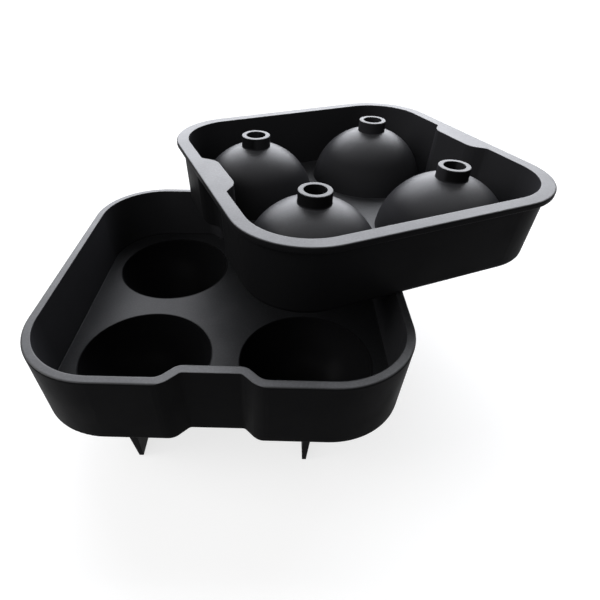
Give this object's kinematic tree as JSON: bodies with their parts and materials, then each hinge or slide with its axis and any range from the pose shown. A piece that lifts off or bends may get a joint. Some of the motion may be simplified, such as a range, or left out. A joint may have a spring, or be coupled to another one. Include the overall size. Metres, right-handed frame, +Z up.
{
  "type": "ice ball mold",
  "caption": "Silicone ice ball mold lying open: a square lower tray of half-ball bowls on thin feet, and a flanged upper tray of half-ball domes with fill spouts across its rim.",
  "frame": {"origin": "middle of the whole part's footprint, on the table under the bowls", "axes": "+X to the right along the lower tray's front side, +Y to its back, +Z up"},
  "size_m": [0.1716, 0.1634, 0.0749],
  "materials": {
    "silicone": "matte moulded"
  },
  "bodies": {
    "lower_tray": {"lower_tray": "silicone"},
    "upper_tray": {"upper_tray": "silicone"}
  },
  "joints": [
    {"name": "upper_lift", "type": "slide", "parent": "lower_tray", "child": "upper_tray", "axis": [0, 0, 1], "range_m": [0, 0.08]}
  ]
}
